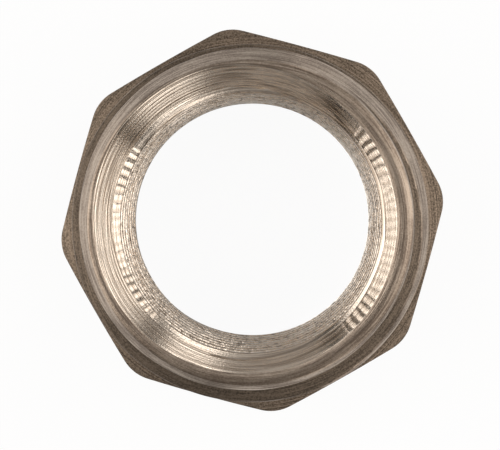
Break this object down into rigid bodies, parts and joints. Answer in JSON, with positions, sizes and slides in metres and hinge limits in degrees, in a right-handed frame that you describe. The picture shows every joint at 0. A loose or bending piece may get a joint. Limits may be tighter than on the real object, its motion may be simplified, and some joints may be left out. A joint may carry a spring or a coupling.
{
  "type": "reducing nipple",
  "caption": "Short reducing nipple: octagon wrench head, outside pipe thread with a lead-in chamfer, and a smaller inside pipe thread right through.",
  "frame": {"origin": "middle of the head's free face, on the bore axis; the part stands on this face", "axes": "+Z along the bore axis, from the head towards the outside thread; X and Y square to flats of the octagon"},
  "size_m": [0.036, 0.036, 0.0185],
  "materials": {
    "nickel_plated_brass": "dull nickel plating with fine turning lines, warm where it is thin"
  },
  "bodies": {
    "root": {"reducing_nipple": "nickel_plated_brass"}
  },
  "joints": []
}
